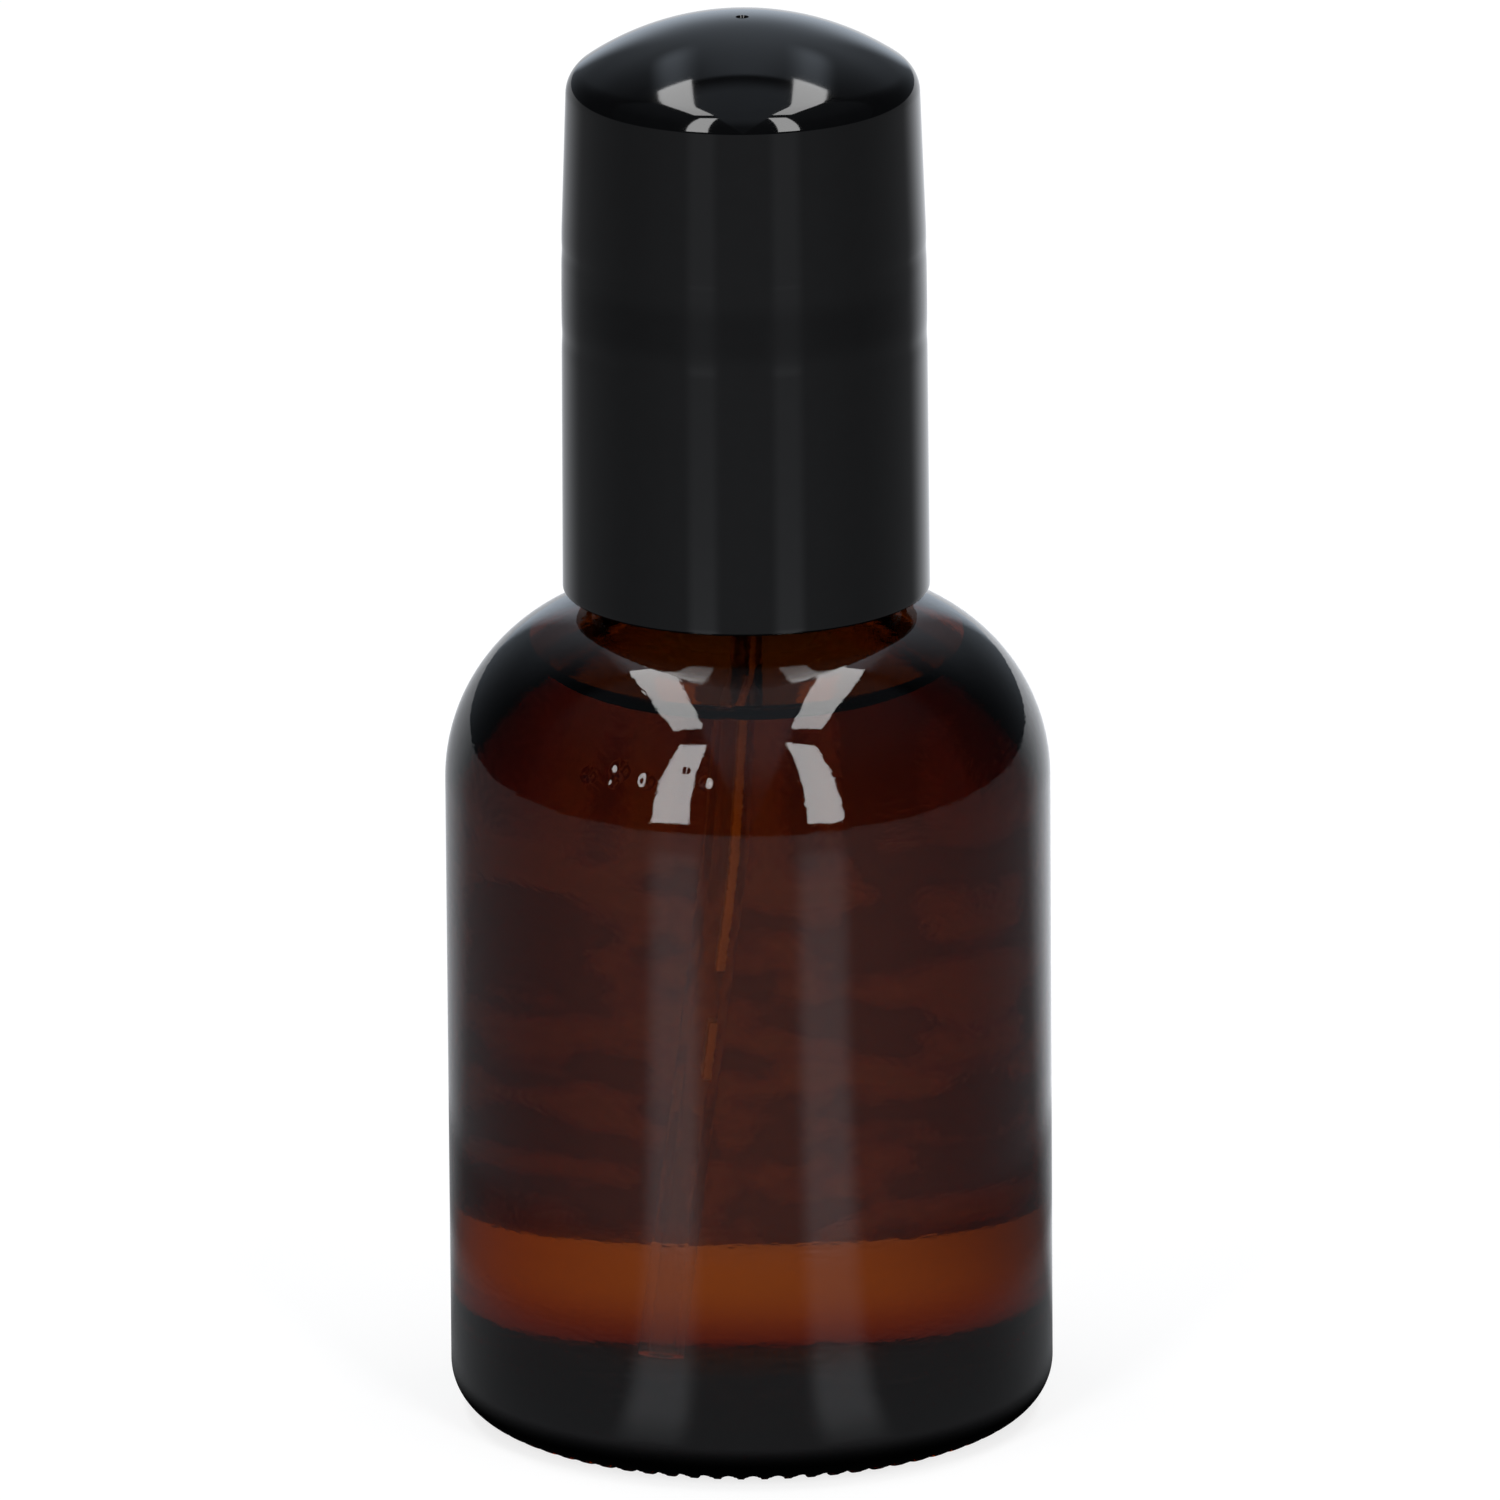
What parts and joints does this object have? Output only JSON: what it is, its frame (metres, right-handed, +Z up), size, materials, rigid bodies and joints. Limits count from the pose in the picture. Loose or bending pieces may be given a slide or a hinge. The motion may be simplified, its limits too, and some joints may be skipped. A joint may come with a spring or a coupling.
{
  "type": "pump oil bottle",
  "caption": "Amber glass oil bottle with a rounded shoulder, a screw-on treatment pump under a tall glossy black overcap, a dip tube and a blank rear label.",
  "frame": {"origin": "centre of the base, on the plane that the bottle stands on", "axes": "+Z up along the bottle's axis; -Y towards the viewer and the spout; +Y towards the label"},
  "size_m": [0.035, 0.0351, 0.0832],
  "materials": {
    "amber_glass": "clear amber, polished",
    "oil": "clear, pale amber liquid",
    "label_paper": "off-white, matt, blank",
    "black_plastic": "polished black",
    "white_plastic": "natural white, satin",
    "clear_tube": "natural, translucent",
    "seal_rubber": "pale grey, matt",
    "steel": "bright stainless"
  },
  "bodies": {
    "bottle": {"bottle": "amber_glass", "oil": "oil", "rear_label": "label_paper"},
    "pump_unit": {"pump_housing": "white_plastic", "gasket": "seal_rubber", "turret": "black_plastic", "dip_tube": "clear_tube", "ball_retainer": "white_plastic", "return_spring": "steel"},
    "collar": {"collar": "black_plastic"},
    "overcap": {"overcap": "black_plastic"},
    "plunger": {"stem": "white_plastic", "valve_plug": "white_plastic"},
    "actuator": {"actuator": "black_plastic"},
    "piston": {"piston": "white_plastic"},
    "inlet_ball": {"inlet_ball": "steel"}
  },
  "joints": [
    {"name": "pump_lift", "type": "slide", "parent": "bottle", "child": "pump_unit", "axis": [0, 0, 1], "range_m": [0, 0.00477], "deforming": ["oil"]},
    {"name": "collar_turn", "type": "hinge", "parent": "pump_unit", "child": "collar", "pos_m": [0, 0, 0.057], "axis": [0, 0, 1], "range_deg": [0, 540]},
    {"name": "overcap_pull", "type": "slide", "parent": "collar", "child": "overcap", "axis": [0, 0, 1], "range_m": [0, 0.036]},
    {"name": "pump_press", "type": "slide", "parent": "pump_unit", "child": "plunger", "axis": [0, 0, -1], "range_m": [0, 0.0045], "stiffness_N_per_m": 600, "springref_m": -0.006, "deforming": ["return_spring"]},
    {"name": "actuator_swivel", "type": "hinge", "parent": "plunger", "child": "actuator", "pos_m": [0, 0, 0.0757], "axis": [0, 0, 1], "continuous": true},
    {"name": "piston_slip", "type": "slide", "parent": "plunger", "child": "piston", "axis": [0, 0, 1], "range_m": [0, 0.0005]},
    {"name": "inlet_ball_lift", "type": "slide", "parent": "pump_unit", "child": "inlet_ball", "axis": [0, 0, 1], "range_m": [0, 0.0006]}
  ],
  "couplings": [
    {"joint": "pump_lift", "follows": "collar_turn", "m_per_rad": 0.00050532}
  ]
}
